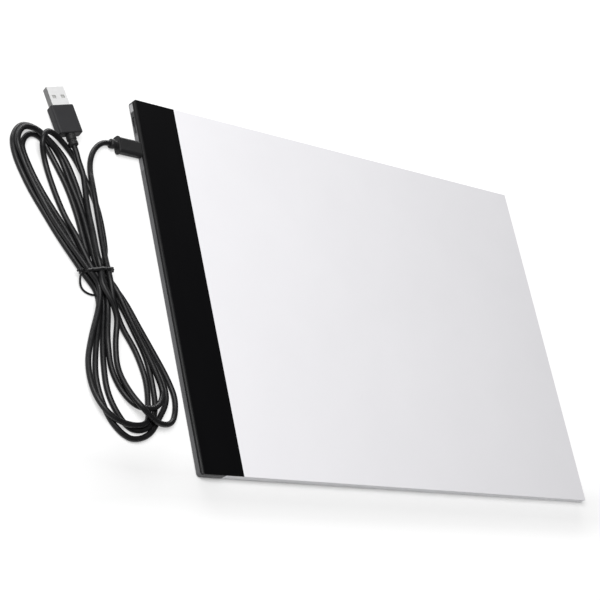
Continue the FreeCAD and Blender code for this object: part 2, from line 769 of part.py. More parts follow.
NODES = {
    "housing_base": housing_base(),
    "housing_cover": housing_cover(),
    "button_bezel": button_bezel(),
    "port_bezel": port_bezel(),
    "mask_film": mask_film(),
    "front_sheet": front_sheet(),
    "diffuser_film": layer(Z_DIFFUSER, DIFFUSER_T, EDGE_TAPE_T),
    "light_guide_plate": layer(Z_GUIDE, GUIDE_T, EDGE_TAPE_T),
    "reflector_film": layer(Z_REFLECTOR, REFLECTOR_T, EDGE_TAPE_T),
    "back_sheet": layer(UNDERSIDE, BACK_SHEET_T),
    "edge_tape": edge_tape(),
    "rubber_feet": rubber_feet(),
    "led_strip_board": led_strip_board(),
    "leds": leds(),
    "strip_resistors": strip_resistors(),
    "control_board": control_board(),
    "controller_chip": chip(*CONTROLLER_AT, *CONTROLLER),
    "driver_transistor": chip(*TRANSISTOR_AT, *TRANSISTOR),
    "board_capacitors": board_capacitors(),
    "board_resistors": board_resistors(),
    "lead_wire_red": lead_wire(0.0),
    "lead_wire_black": lead_wire(1.6),
    "micro_usb_socket": micro_usb_socket(),
    "socket_tongue": socket_tongue(),
    "socket_contacts": socket_contacts(),
    "switch_body": switch_body(),
    "switch_plunger": switch_plunger(),
    "power_button": power_button(),
    "micro_plug_shell": micro_plug_shell(),
    "micro_plug_insert": micro_plug_insert(),
    "micro_plug_contacts": micro_plug_contacts(),
    "micro_plug_body": micro_plug_body(),
    "micro_strain_relief": micro_strain_relief(),
    "cable_lead": cord("cable lead", LEAD_ROUTE, CABLE_D),
    "cable_hank": cable_hank(),
    "cable_tail": cord("cable tail", TAIL_ROUTE, CABLE_D),
    "usb_plug_shell": usb_plug_shell(),
    "usb_plug_insert": usb_plug_insert(),
    "usb_plug_contacts": usb_plug_contacts(),
    "usb_plug_body": usb_plug_body(),
    "usb_strain_relief": usb_strain_relief(),
    "twist_tie": twist_tie(),
}

os.makedirs("parts", exist_ok=True)
for node, shape in NODES.items():
    shape.exportStep("parts/" + node + ".step")
print(len(NODES), "nodes written")
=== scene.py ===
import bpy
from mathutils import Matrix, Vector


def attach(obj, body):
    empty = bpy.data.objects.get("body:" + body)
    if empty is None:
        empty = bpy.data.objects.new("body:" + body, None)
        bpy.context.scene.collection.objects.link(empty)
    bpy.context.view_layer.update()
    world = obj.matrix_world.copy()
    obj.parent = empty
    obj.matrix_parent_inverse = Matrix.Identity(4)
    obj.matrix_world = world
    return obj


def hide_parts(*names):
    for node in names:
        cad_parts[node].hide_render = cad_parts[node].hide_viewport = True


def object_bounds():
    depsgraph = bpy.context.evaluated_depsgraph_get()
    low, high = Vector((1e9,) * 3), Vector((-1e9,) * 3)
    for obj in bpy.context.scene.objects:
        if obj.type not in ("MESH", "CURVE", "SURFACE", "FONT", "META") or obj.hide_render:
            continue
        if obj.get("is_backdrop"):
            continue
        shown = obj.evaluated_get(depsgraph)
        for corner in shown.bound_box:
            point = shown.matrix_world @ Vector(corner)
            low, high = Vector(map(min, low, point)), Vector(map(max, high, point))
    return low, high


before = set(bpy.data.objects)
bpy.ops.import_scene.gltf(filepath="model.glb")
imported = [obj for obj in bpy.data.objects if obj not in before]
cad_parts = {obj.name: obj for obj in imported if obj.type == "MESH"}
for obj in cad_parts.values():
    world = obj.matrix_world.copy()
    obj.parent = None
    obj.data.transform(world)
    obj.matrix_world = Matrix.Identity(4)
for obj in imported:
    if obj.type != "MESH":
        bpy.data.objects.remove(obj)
CAD_LOW, CAD_HIGH = (corner.copy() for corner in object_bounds())

import math

import bpy
import numpy
from mathutils import Matrix, Vector

# A thin light box lying on a pale floor, seen from beyond its black end housing, with its
# lead tied in a hank beside it. Lengths in this script are in metres unless a name or a
# comment says millimetres.

MM = 0.001
scene = bpy.context.scene

# ---------------------------------------------------------------- camera

# fitted to the four corners of the face in the photograph
CAMERA_AT = Vector((-0.8363, -0.3916, 0.6924))
CAMERA_FORWARD = Vector((0.69598, 0.35638, -0.62338))
CAMERA_UP = Vector((-0.12038, 0.91377, 0.38799))
CAMERA_LENS = 105.32
CAMERA_SENSOR = 36.0


def make_camera():
    data = bpy.data.cameras.new("camera")
    data.lens = CAMERA_LENS
    data.sensor_width = CAMERA_SENSOR
    data.clip_start = 0.05
    data.clip_end = 20.0
    camera = bpy.data.objects.new("camera", data)
    scene.collection.objects.link(camera)
    back = -CAMERA_FORWARD.normalized()
    right = CAMERA_UP.cross(back).normalized()
    up = back.cross(right)
    camera.matrix_world = Matrix.Translation(CAMERA_AT) @ Matrix((right, up, back)).transposed().to_4x4()
    scene.camera = camera


make_camera()

# ---------------------------------------------------------------- materials


# sockets of a colour Mix node, whose names are shared by its other data types
MIX_FIRST = 6
MIX_SECOND = 7
MIX_RESULT = 2


class Graph:
    """Node graph of one material, with its principled shader."""

    def __init__(self, name, colour, roughness, metallic=0.0, specular=0.5):
        self.material = bpy.data.materials.new(name)
        self.material.use_nodes = True
        self.tree = self.material.node_tree
        self.shader = self.tree.nodes["Principled BSDF"]
        self.set("Base Color", (*colour, 1.0))
        self.set("Roughness", roughness)
        self.set("Metallic", metallic)
        self.set("Specular IOR Level", specular)

    def set(self, socket, value):
        self.shader.inputs[socket].default_value = value

    def node(self, kind, **inputs):
        made = self.tree.nodes.new(kind)
        for name, value in inputs.items():
            made.inputs[name.replace("_", " ")].default_value = value
        return made

    def link(self, source, target):
        self.tree.links.new(source, target)

    def coordinates(self, stretch=(1.0, 1.0, 1.0)):
        """Object coordinates in metres, scaled along each axis."""
        place = self.node("ShaderNodeTexCoord")
        mapping = self.node("ShaderNodeMapping", Scale=stretch)
        self.link(place.outputs["Object"], mapping.inputs["Vector"])
        return mapping.outputs["Vector"]

    def noise(self, scale, detail=3.0, stretch=(1.0, 1.0, 1.0)):
        made = self.node("ShaderNodeTexNoise", Scale=scale, Detail=detail, Roughness=0.55)
        self.link(self.coordinates(stretch), made.inputs["Vector"])
        return made.outputs["Fac"]

    def spread(self, factor, low, high, start=0.3, end=0.7):
        """Maps a factor from start..end to low..high."""
        made = self.node("ShaderNodeMapRange")
        made.inputs["From Min"].default_value = start
        made.inputs["From Max"].default_value = end
        made.inputs["To Min"].default_value = low
        made.inputs["To Max"].default_value = high
        self.link(factor, made.inputs["Value"])
        return made.outputs["Result"]

    def blend(self, factor, first, second):
        """Colour between two, each a plain colour or another node's output."""
        made = self.node("ShaderNodeMix")
        made.data_type = "RGBA"
        for socket, colour in ((MIX_FIRST, first), (MIX_SECOND, second)):
            if isinstance(colour, tuple):
                made.inputs[socket].default_value = (*colour, 1.0)
            else:
                self.link(colour, made.inputs[socket])
        self.link(factor, made.inputs["Factor"])
        return made.outputs[MIX_RESULT]

    def largest(self, *factors):
        """The largest of several factors."""
        found = factors[0]
        for factor in factors[1:]:
            made = self.node("ShaderNodeMath")
            made.operation = "MAXIMUM"
            self.link(found, made.inputs[0])
            self.link(factor, made.inputs[1])
            found = made.outputs[0]
        return found

    def bump(self, height, strength, distance):
        made = self.node("ShaderNodeBump", Strength=strength, Distance=distance)
        self.link(height, made.inputs["Height"])
        self.link(made.outputs["Normal"], self.shader.inputs["Normal"])

    def drive(self, socket, source):
        self.link(source, self.shader.inputs[socket])


def scaled(colour, factor):
    return tuple(channel * factor for channel in colour)


GRAIN = 2600.0           # scale of the spark-eroded grain on moulded plastic
GRAIN_STRENGTH = 0.35
GRAIN_DEPTH = 0.00002


def moulded(name, colour, roughness, grain=GRAIN, specular=0.4, uneven=0.08):
    """Moulded plastic: a fine spark-eroded grain, with tone and gloss that vary a little."""
    graph = Graph(name, colour, roughness, specular=specular)
    cloud = graph.noise(55.0)
    graph.drive("Base Color", graph.blend(graph.spread(cloud, 0.0, 1.0), scaled(colour, 1 - uneven),
                                          scaled(colour, 1 + uneven)))
    graph.drive("Roughness", graph.spread(graph.noise(170.0), roughness - 0.05, roughness + 0.07))
    graph.bump(graph.noise(grain, detail=2.0), GRAIN_STRENGTH, GRAIN_DEPTH)
    return graph.material


def opal_face():
    """Frosted opal acrylic, slightly translucent, with a matt grain and faint cloudiness."""
    colour = (0.825, 0.818, 0.842)
    graph = Graph("opal_acrylic", colour, 0.42, specular=0.35)
    cloud = graph.noise(14.0, detail=4.0)
    graph.drive("Base Color", graph.blend(graph.spread(cloud, 0.0, 1.0), scaled(colour, 0.99),
                                          scaled(colour, 1.01)))
    graph.drive("Roughness", graph.spread(graph.noise(60.0), 0.38, 0.48))
    graph.bump(graph.noise(3800.0, detail=2.0), 0.15, 0.000012)
    graph.set("Subsurface Weight", 0.12)
    graph.set("Subsurface Radius", (0.0012, 0.0012, 0.0012))
    return graph.material


def black_film():
    """Satin black film: very dark, with a fine drawn grain along the short side."""
    colour = (0.0025, 0.0025, 0.0029)
    graph = Graph("black_film", colour, 0.5, specular=0.04)
    smear = graph.noise(40.0, stretch=(1.0, 0.25, 1.0))
    graph.drive("Base Color", graph.blend(graph.spread(smear, 0.0, 1.0), scaled(colour, 0.92),
                                          scaled(colour, 1.1)))
    graph.drive("Roughness", graph.spread(smear, 0.46, 0.55))
    graph.bump(graph.noise(1500.0, stretch=(1.0, 0.3, 1.0)), 0.12, 0.00001)
    return graph.material


def clear_acrylic(name, colour, transmission):
    """Clear acrylic with saw-cut edges."""
    graph = Graph(name, colour, 0.12, specular=0.5)
    graph.set("Transmission Weight", transmission)
    graph.set("IOR", 1.49)
    graph.drive("Roughness", graph.spread(graph.noise(900.0, stretch=(1.0, 1.0, 0.2)), 0.08, 0.2))
    graph.bump(graph.noise(1400.0, stretch=(1.0, 1.0, 0.15)), 0.1, 0.00001)
    return graph.material


def metal(name, colour, roughness):
    """Plated sheet metal with a fine texture and small stains."""
    graph = Graph(name, colour, roughness, metallic=1.0)
    lines = graph.noise(1800.0)
    stains = graph.noise(420.0, detail=4.0)
    graph.drive("Base Color", graph.blend(graph.spread(stains, 0.0, 1.0, 0.35, 0.75), colour,
                                          scaled(colour, 0.86)))
    graph.drive("Roughness", graph.spread(lines, roughness - 0.05, roughness + 0.08))
    graph.bump(lines, 0.12, 0.000008)
    return graph.material


BEZEL_TONES = ((0.085, 0.085, 0.087), (0.022, 0.022, 0.023), (0.30, 0.30, 0.305))
BEZEL_STEPS = (0.103, 0.1128)    # where the tone changes, along the pad's side
BEZEL_EDGE = 0.0004              # half the width of each change


def bezel_face():
    """Moulded bezel: grey by the port, black round the button and pale to the corner."""
    grey, black, pale = BEZEL_TONES
    graph = Graph("bezel_tones", grey, 0.45, specular=0.3)
    split = graph.node("ShaderNodeSeparateXYZ")
    graph.link(graph.coordinates(), split.inputs["Vector"])
    low, high = (
        graph.spread(split.outputs["Y"], 0.0, 1.0, step - BEZEL_EDGE, step + BEZEL_EDGE)
        for step in BEZEL_STEPS
    )
    graph.drive("Base Color", graph.blend(high, graph.blend(low, grey, black), pale))
    graph.bump(graph.noise(GRAIN, detail=2.0), GRAIN_STRENGTH, GRAIN_DEPTH)
    return graph.material


SHELL_SHADED_SIDE = (-0.968, -0.174, 0.180)    # way the USB plug shell's narrow side faces; faces turned this way get painted shade


def tin_shell():
    """Tin-plated plug shell: bright broad faces, and painted shade that darkens the narrow bent sides."""
    bright = (0.86, 0.86, 0.86)
    graph = Graph("tin_plate", bright, 0.34, metallic=0.4)
    place = graph.node("ShaderNodeTexCoord")
    facing = graph.node("ShaderNodeVectorMath")
    facing.operation = "DOT_PRODUCT"
    facing.inputs[1].default_value = SHELL_SHADED_SIDE
    graph.link(place.outputs["Normal"], facing.inputs[0])
    # painted shade: faces turned along the shell's narrow side are darkened to a dull grey
    side = graph.spread(facing.outputs["Value"], 0.0, 1.0, 0.45, 0.85)
    graph.drive("Base Color", graph.blend(side, bright, (0.14, 0.14, 0.14)))
    lines = graph.noise(1800.0, stretch=(1.0, 0.2, 1.0))
    graph.drive("Roughness", graph.spread(lines, 0.3, 0.42))
    graph.bump(lines, 0.1, 0.000008)
    return graph.material


def jacket(name, colour, roughness):
    """Satin PVC cable jacket: tiny extrusion ripples and scuffed patches."""
    graph = Graph(name, colour, roughness, specular=0.32)
    scuff = graph.noise(260.0, detail=4.0)
    graph.drive("Base Color", graph.blend(graph.spread(scuff, 0.0, 1.0, 0.4, 0.75), colour,
                                          scaled(colour, 1.35)))
    graph.drive("Roughness", graph.spread(scuff, roughness - 0.04, roughness + 0.1))
    graph.bump(graph.noise(700.0, detail=2.0), 0.04, 0.00002)
    return graph.material


def glass_fibre():
    """Board laminate with a faint glass weave."""
    colour = (0.02, 0.13, 0.06)
    graph = Graph("board_laminate", colour, 0.4)
    weave = graph.node("ShaderNodeTexWave", Scale=900.0, Distortion=1.0)
    graph.link(graph.coordinates(), weave.inputs["Vector"])
    graph.drive("Base Color", graph.blend(weave.outputs["Fac"], colour, scaled(colour, 1.25)))
    graph.bump(weave.outputs["Fac"], 0.1, 0.00001)
    return graph.material


def paper_white(name, colour, roughness=0.6):
    """White plastic film with a faint mottle."""
    graph = Graph(name, colour, roughness, specular=0.3)
    cloud = graph.noise(120.0, detail=4.0)
    graph.drive("Base Color", graph.blend(graph.spread(cloud, 0.0, 1.0), scaled(colour, 0.97), colour))
    graph.bump(graph.noise(1800.0), 0.1, 0.00001)
    return graph.material


CABLE_JACKET = jacket("cable_jacket", (0.005, 0.005, 0.0055), 0.4)
TIE_PLASTIC = jacket("tie_plastic", (0.006, 0.006, 0.0065), 0.42)
PLUG_PLASTIC = moulded("plug_plastic", (0.022, 0.022, 0.0235), 0.5, specular=0.22)
MICRO_PLASTIC = moulded("micro_plug_plastic", (0.013, 0.013, 0.0135), 0.5, specular=0.25)
NICKEL = metal("nickel_plate", (0.80, 0.80, 0.80), 0.26)
GOLD = metal("gold_plate", (0.83, 0.62, 0.26), 0.22)
HOUSING_BLACK = moulded("housing_black", (0.005, 0.005, 0.0055), 0.45, specular=0.2)
HOUSING_GREY = moulded("housing_grey", (0.075, 0.075, 0.078), 0.5)

NODE_MATERIALS = {
    "housing_base": HOUSING_GREY,
    "housing_cover": HOUSING_BLACK,
    "button_bezel": bezel_face(),
    "port_bezel": moulded("bezel_grey", (0.13, 0.13, 0.135), 0.48),
    "mask_film": black_film(),
    "front_sheet": opal_face(),
    "diffuser_film": paper_white("diffuser_film", (0.82, 0.82, 0.84)),
    "light_guide_plate": clear_acrylic("guide_acrylic", (0.93, 0.95, 0.95), 0.9),
    "reflector_film": paper_white("reflector_film", (0.86, 0.86, 0.87)),
    "back_sheet": moulded("back_plastic", (0.74, 0.74, 0.75), 0.5, uneven=0.02),
    "edge_tape": paper_white("edge_tape", (0.80, 0.80, 0.82), 0.5),
    "rubber_feet": moulded("foot_rubber", (0.05, 0.05, 0.05), 0.7, grain=1500.0),
    "led_strip_board": glass_fibre(),
    "leds": paper_white("led_lens", (0.85, 0.80, 0.55), 0.3),
    "strip_resistors": moulded("resistor_black", (0.03, 0.03, 0.03), 0.4),
    "control_board": glass_fibre(),
    "controller_chip": moulded("chip_black", (0.02, 0.02, 0.02), 0.5),
    "driver_transistor": moulded("transistor_black", (0.025, 0.025, 0.025), 0.5),
    "board_capacitors": moulded("capacitor_tan", (0.35, 0.24, 0.13), 0.4),
    "board_resistors": moulded("resistor_black_board", (0.03, 0.03, 0.03), 0.4),
    "lead_wire_red": jacket("wire_red", (0.45, 0.02, 0.02), 0.4),
    "lead_wire_black": jacket("wire_black", (0.02, 0.02, 0.02), 0.4),
    "micro_usb_socket": NICKEL,
    "socket_tongue": moulded("tongue_black", (0.02, 0.02, 0.02), 0.45),
    "socket_contacts": GOLD,
    "switch_body": NICKEL,
    "switch_plunger": moulded("plunger_black", (0.02, 0.02, 0.02), 0.45),
    "power_button": moulded("button_black", (0.018, 0.018, 0.019), 0.4),
    "micro_plug_shell": NICKEL,
    "micro_plug_insert": moulded("insert_black", (0.02, 0.02, 0.02), 0.45),
    "micro_plug_contacts": GOLD,
    "micro_plug_body": MICRO_PLASTIC,
    "micro_strain_relief": MICRO_PLASTIC,
    "usb_plug_shell": tin_shell(),
    # the USB-A insert is white plastic; its colour is darkened to a mid grey as painted shade inside the
    # shell's windows
    "usb_plug_insert": paper_white("insert_white_painted_shade", (0.42, 0.42, 0.41), 0.5),
    "usb_plug_contacts": GOLD,
    "usb_plug_body": PLUG_PLASTIC,
    "usb_strain_relief": MICRO_PLASTIC,
}


def dress(node, material):
    """Gives a carried-over CAD node its material on every slot."""
    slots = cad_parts[node].data.materials
    for number in range(len(slots)):
        slots[number] = material
    if not len(slots):
        slots.append(material)


for node_name, node_material in NODE_MATERIALS.items():
    dress(node_name, node_material)

# ---------------------------------------------------------------- cable

CABLE_D = 0.0034

# Points of the cable's route in millimetres: from the micro plug to the hank,
# the turns of the hank, and from the hank to the USB-A plug. The turns were traced on the
# photograph, and a scratch script carried them to millimetres and wrote out the list.
LEAD_ROUTE = [
    (-203.1, 86.2, 3.0), (-206.6, 86.2, 3.0), (-211.4, 83.7, 2.9), (-214.8, 80.5, 2.6),
    (-217.5, 76.7, 2.3), (-219.8, 71.3, 2.0), (-221.4, 64.2, 2.2), (-222.8, 56.8, 3.9),
    (-223.4, 49.5, 4.7),
]
HANK = [
    # from the pad down to the tie
    (-223.5, 35.5, 4.5), (-224, 18.5, 4.5),
    # first lower loop, right side first
    (-225, -0.5, 5), (-223.5, -18.5, 3.5), (-218, -33, 1.5), (-210.5, -47.5, 1.5),
    (-206.5, -64, 1.5), (-208, -79.5, 1.5), (-212, -91.5, 1.5), (-226.5, -94, 3.5),
    (-240, -88.5, 4.5), (-246.5, -75, 3), (-246, -58, 1.5), (-240.5, -41.5, 1.5),
    (-233.5, -24.5, 2), (-231.5, -10.5, 4),
    # first upper loop, left side first
    (-237.5, -3, 5), (-249, 14, 4), (-257.5, 28, 2.5), (-264.5, 43.5, 1.5), (-270, 61, 1.5),
    (-273.5, 73, 3.5), (-268, 82.5, 4.5), (-258, 82.5, 4.5), (-250, 76.5, 3.5), (-242, 69, 1.5),
    (-238, 54.5, 1.5), (-234, 36.5, 1.5), (-232, 16.5, 2),
    # second lower loop
    (-229.5, -1.5, 2.5), (-217, -21, 2), (-209.5, -36, 1.5), (-203.5, -51.5, 1.5), (-202, -69, 1.5),
    (-203.5, -83, 1.5), (-211, -93.5, 1.5), (-223.5, -95, 1.5), (-231, -86.5, 1.5),
    (-235.5, -73.5, 1.5), (-235, -57.5, 1.5), (-232.5, -42, 1.5), (-229.5, -25.5, 2),
    (-229.5, -10.5, 4.5),
    # second upper loop
    (-236, -3, 2.5), (-243, 17, 2), (-251.5, 31.5, 1.5), (-259, 44.5, 1.5), (-265.5, 60, 1.5),
    (-268, 73, 1.5), (-261.5, 81, 1.5), (-253.5, 80, 1.5), (-249.5, 72.5, 1.5), (-244.5, 61.5, 1.5),
    (-239, 47, 1.5), (-235, 27.5, 1.5), (-233.5, 10, 2),
    # third lower loop
    (-232.5, -2, 2.5), (-217, -17, 2), (-209, -32, 1.5), (-201, -47, 1.5), (-194.5, -61.5, 1.5),
    (-193.5, -75.5, 1.5), (-202, -87.5, 1.5), (-213.5, -98.5, 1.5), (-226, -100.5, 1.5),
    (-235.5, -92.5, 1.5), (-240.5, -80, 1.5), (-242, -65.5, 1.5), (-239, -50, 1.5),
    (-234, -33.5, 1.5), (-229.5, -16.5, 2),
    # third upper loop
    (-239, -3.5, 2.5), (-250.5, 14.5, 2), (-259, 30, 1.5), (-267.5, 46.5, 1.5), (-273.5, 63.5, 1.5),
    (-273.5, 77, 1.5), (-266, 86, 1.5), (-256, 85.5, 1.5), (-248, 80, 1.5), (-239.5, 71, 1.5),
    (-234.5, 58, 1.5), (-231, 39.5, 1.5), (-230, 19, 2),
    # fourth lower loop
    (-226.5, -1, 2.5), (-220, -17.5, 5), (-213.5, -32, 4.5), (-206.5, -46.5, 4.5), (-201, -60, 4.5),
    (-197.5, -73, 3.5), (-205.5, -82.5, 4.5), (-218, -82.5, 4.5), (-225, -73, 2), (-230.5, -60, 2),
    (-232, -44.5, 4), (-228.5, -27.5, 4), (-228, -11.5, 5),
    # fourth upper loop, over the ends of the other three
    (-234.5, -2.5, 5), (-241, 15.5, 4), (-245.5, 31, 1.5), (-250.5, 48, 1.5), (-254, 64.5, 2),
    (-257.5, 74.5, 6.5), (-253, 81.5, 7), (-242.5, 81, 3.5), (-233, 74, 1.5), (-228, 65, 1.5),
    (-222.5, 51.5, 1.5), (-219.5, 34, 1.5), (-220, 14, 2),
    # fifth lower loop, over the others
    (-223.5, 0, 2.5), (-214.5, -16.5, 2), (-206.5, -31.5, 1.5), (-198, -46, 1.5),
    (-190.5, -61, 1.5), (-187, -75, 1.5), (-192, -88.5, 1.5), (-205, -91.5, 4), (-217.5, -84.5, 7),
    (-223, -73.5, 4), (-225.5, -59.5, 1.5), (-225, -44.5, 2.5), (-223.5, -30, 5), (-228.5, -20, 7),
    (-232.5, -11, 6.5),
    # up to the USB plug
    (-231, -1.5, 5.5), (-232, 3.5, 6.5), (-231, 26, 5), (-230, 44.5, 4.5), (-229.5, 58.5, 5),
]
TAIL_ROUTE = [(-231.9, 67.67, 5.7), (-232.97, 72.28, 6.51), (-233.63, 76.22, 6.25)]

HANK_STEP = 5.0      # spacing of the worked-out points, in mm
STRAND_GAP = 3.35    # least distance between the middles of two strands, in mm
STRAND_LOW = 1.72    # lowest middle of a strand lying on the floor, in mm
SAMPLES = 3          # places watched on each step
NEAR_ALONG = 9.0     # stretch of the cable next to a place that is not pushed by it, in mm
SEARCH = 1.6         # how far strands are looked for, in times the least distance
ROUNDS = 400
RECOUNT = 20         # rounds between two searches for close strands
PUSH = 2.2           # strength with which close strands part
KEEP_BENDS = 0.1     # share of a lost bend that each round gives back
PULL_BACK = (0.05, 0.05, 0.004)    # share of the way back to the start in each round, along x, y and z
TINY = 1e-9          # keeps a division from failing


def eased(points, step):
    """Points at about even steps on a smooth curve through the given ones."""
    points = numpy.array(points)
    padded = numpy.vstack([2 * points[0] - points[1], points, 2 * points[-1] - points[-2]])
    found = []
    for p0, p1, p2, p3 in zip(padded, padded[1:], padded[2:], padded[3:]):
        pieces = max(1, round(float(numpy.linalg.norm(p2 - p1)) / step))
        for number in range(pieces):
            t = number / pieces
            found.append(0.5 * (2 * p1 + (p2 - p0) * t + (2 * p0 - 5 * p1 + 4 * p2 - p3) * t ** 2
                                + (3 * p1 - p0 - 3 * p2 + p3) * t ** 3))
    found.append(points[-1])
    return numpy.array(found)


def watched(count):
    """Weights that turn the cable's points into the places watched between them."""
    weights = numpy.zeros(((count - 1) * SAMPLES + 1, count))
    for place in range(len(weights)):
        point, part = divmod(place, SAMPLES)
        weights[place, point] = 1 - part / SAMPLES
        if part:
            weights[place, point + 1] = part / SAMPLES
    return weights


def close_pairs(places):
    """Pairs of places on different strands that come near each other."""
    runs = numpy.linalg.norm(numpy.diff(places, axis=0), axis=1)
    along = numpy.concatenate([[0.0], numpy.cumsum(runs)])
    apart = numpy.linalg.norm(places[:, None] - places[None], axis=2)
    near = (apart < STRAND_GAP * SEARCH) & (along[None] - along[:, None] > NEAR_ALONG)
    return numpy.nonzero(near)


def bends(points):
    """How far each point stands from the middle of its neighbours."""
    result = numpy.zeros_like(points)
    result[1:-1] = (points[:-2] + points[2:]) / 2 - points[1:-1]
    return result


def settled(points, held_first, held_last):
    """Pushes crossing strands apart, as they lie on each other, and keeps their turns."""
    start = points
    points = points.copy()
    weights = watched(len(points))
    share = numpy.maximum(weights.sum(axis=0), TINY)[:, None]
    free = slice(held_first, len(points) - held_last)
    for number in range(ROUNDS):
        places = weights @ points
        if number % RECOUNT == 0:
            first, second = close_pairs(places)
        offset = places[first] - places[second]
        gap = numpy.linalg.norm(offset, axis=1) + TINY
        push = numpy.maximum(STRAND_GAP - gap, 0.0)[:, None] * offset / gap[:, None] * 0.5
        total = numpy.zeros_like(places)
        touching = numpy.zeros(len(places))
        numpy.add.at(total, first, push)
        numpy.add.at(total, second, -push)
        numpy.add.at(touching, first, gap < STRAND_GAP)
        numpy.add.at(touching, second, gap < STRAND_GAP)
        total /= numpy.maximum(touching, 1)[:, None]
        points[free] += (weights.T @ total / share * PUSH)[free]
        points[free] += KEEP_BENDS * (bends(points) - bends(start))[free]
        points[free] += (start - points)[free] * PULL_BACK
        points[free, 2] = numpy.maximum(points[free, 2], STRAND_LOW)
    return points


hank_points = eased(LEAD_ROUTE[-1:] + HANK + TAIL_ROUTE[:1], HANK_STEP)[1:-1].tolist()
whole_route = numpy.array(LEAD_ROUTE + hank_points + TAIL_ROUTE)
cable_route = settled(whole_route, len(LEAD_ROUTE), len(TAIL_ROUTE))
cable_points = [Vector(point) * MM for point in cable_route]


def nurbs(name, points, resolution=6):
    """A smooth open NURBS spline, with the points as its control points."""
    curve = bpy.data.curves.new(name, "CURVE")
    curve.dimensions = "3D"
    curve.resolution_u = resolution
    spline = curve.splines.new("NURBS")
    spline.points.add(len(points) - 1)
    for place, point in zip(spline.points, points):
        place.co = (*point, 1.0)
    spline.order_u = 3
    spline.use_endpoint_u = True
    piece = bpy.data.objects.new(name, curve)
    scene.collection.objects.link(piece)
    return piece


def thicken(piece, diameter, material):
    """Gives a spline its round section and its material."""
    curve = piece.data
    curve.bevel_depth = diameter / 2
    curve.bevel_resolution = 6
    curve.use_fill_caps = True
    curve.materials.append(material)


def centreline(piece):
    """Points along a curve that has no bevel yet."""
    bpy.context.view_layer.update()
    mesh = bpy.data.meshes.new_from_object(piece)
    line = [vertex.co.copy() for vertex in mesh.vertices]
    bpy.data.meshes.remove(mesh)
    return line


cable = nurbs("usb_cable", cable_points)
cable_line = centreline(cable)
thicken(cable, CABLE_D, CABLE_JACKET)
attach(cable, "lead")
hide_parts("cable_lead", "cable_hank", "cable_tail")

# ---------------------------------------------------------------- twist tie

TIE_ANGLE = math.radians(12.0)
TIE_AT = Vector((-0.2322, -0.0020, 0.0))
TIE_ALONG = Vector((-math.sin(TIE_ANGLE), math.cos(TIE_ANGLE), 0.0))
TIE_ACROSS = Vector((math.cos(TIE_ANGLE), math.sin(TIE_ANGLE), 0.0))
TIE_LOW = 0.0009      # lowest place of the band's inner face
TIE_SLACK = 0.0001    # gap between the band and the strands
TIE_SWAY = 0.0011     # how far the band wanders along the hank
TIE_PHASE = 0.6       # where round the hank it starts to wander, in radians
BELT_POINTS = 96
STRAND_POINTS = 24


def crossings(line, origin, normal):
    """Where a line passes through a plane."""
    found = []
    for before, after in zip(line, line[1:]):
        here = (before - origin).dot(normal)
        there = (after - origin).dot(normal)
        if here * there < 0:
            found.append(before.lerp(after, here / (here - there)))
    return found


def convex_hull(points):
    """Corners of the convex hull of 2-D points, anticlockwise."""
    points = sorted(set(points))

    def chain(ordered):
        kept = []
        for p in ordered:
            while len(kept) > 1:
                (ax, ay), (bx, by) = kept[-2], kept[-1]
                if (bx - ax) * (p[1] - ay) - (by - ay) * (p[0] - ax) > 0:
                    break
                kept.pop()
            kept.append(p)
        return kept[:-1]

    return chain(points) + chain(points[::-1])


def ring_points(radius):
    """A closed belt pulled tight round the hank's section at the tie, evenly spaced."""
    outline = []
    for centre in crossings(cable_line, TIE_AT, TIE_ALONG):
        across = (centre - TIE_AT).dot(TIE_ACROSS)
        for step in range(STRAND_POINTS):
            turn = math.tau * step / STRAND_POINTS
            height = centre.z + radius * math.sin(turn)
            outline.append((across + radius * math.cos(turn), max(height, TIE_LOW)))
    hull = convex_hull(outline)
    lengths = [math.dist(a, b) for a, b in zip(hull, hull[1:] + hull[:1])]
    total = sum(lengths)
    points = []
    for step in range(BELT_POINTS):
        left = total * step / BELT_POINTS
        for corner, following, length in zip(hull, hull[1:] + hull[:1], lengths):
            if left <= length:
                points.append(Vector(corner).lerp(Vector(following), left / length))
                break
            left -= length
    return points


def tie_place(point, along):
    """Where a place on the belt (across, height) is in the scene."""
    return TIE_AT + TIE_ACROSS * point[0] + Vector((0, 0, point[1])) + TIE_ALONG * along


def mesh_piece(name, vertices, faces, material, smooth=True):
    mesh = bpy.data.meshes.new(name)
    mesh.from_pydata([tuple(v) for v in vertices], [], faces)
    mesh.materials.append(material)
    mesh.polygons.foreach_set("use_smooth", [smooth] * len(mesh.polygons))
    mesh.validate()
    piece = bpy.data.objects.new(name, mesh)
    scene.collection.objects.link(piece)
    return piece


# half section of the ribbon: thin wings with a raised wire core, (along, out) in mm
RIBBON = [(-1.05, 0.0), (-1.0, 0.28), (-0.5, 0.34), (-0.3, 0.62), (0.0, 0.78), (0.3, 0.62), (0.5, 0.34),
          (1.0, 0.28), (1.05, 0.0)]


def tie_band():
    """Plastic ribbon with a wire core, drawn round the hank."""
    inner = ring_points(CABLE_D / 2 + TIE_SLACK)
    count = len(inner)
    middle = sum(inner, Vector((0, 0))) / count
    vertices = []
    for number, point in enumerate(inner):
        tangent = (inner[(number + 1) % count] - inner[number - 1]).normalized()
        outward = Vector((tangent.y, -tangent.x))
        if outward.dot(point - middle) < 0:
            outward = -outward
        sway = TIE_SWAY * math.sin(math.tau * number / count + TIE_PHASE)
        for along, out in RIBBON:
            place = point + outward * out * MM
            vertices.append(tie_place(place, sway + along * MM))
    profile = len(RIBBON)
    faces = []
    for number in range(count):
        following = (number + 1) % count
        for step in range(profile - 1):
            a = number * profile + step
            b = following * profile + step
            faces.append((a, a + 1, b + 1, b))
        faces.append((number * profile + profile - 1, number * profile, following * profile,
                      following * profile + profile - 1))
    return mesh_piece("tie_band", vertices, faces, TIE_PLASTIC)


band = tie_band()
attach(band, "lead")
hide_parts("twist_tie")

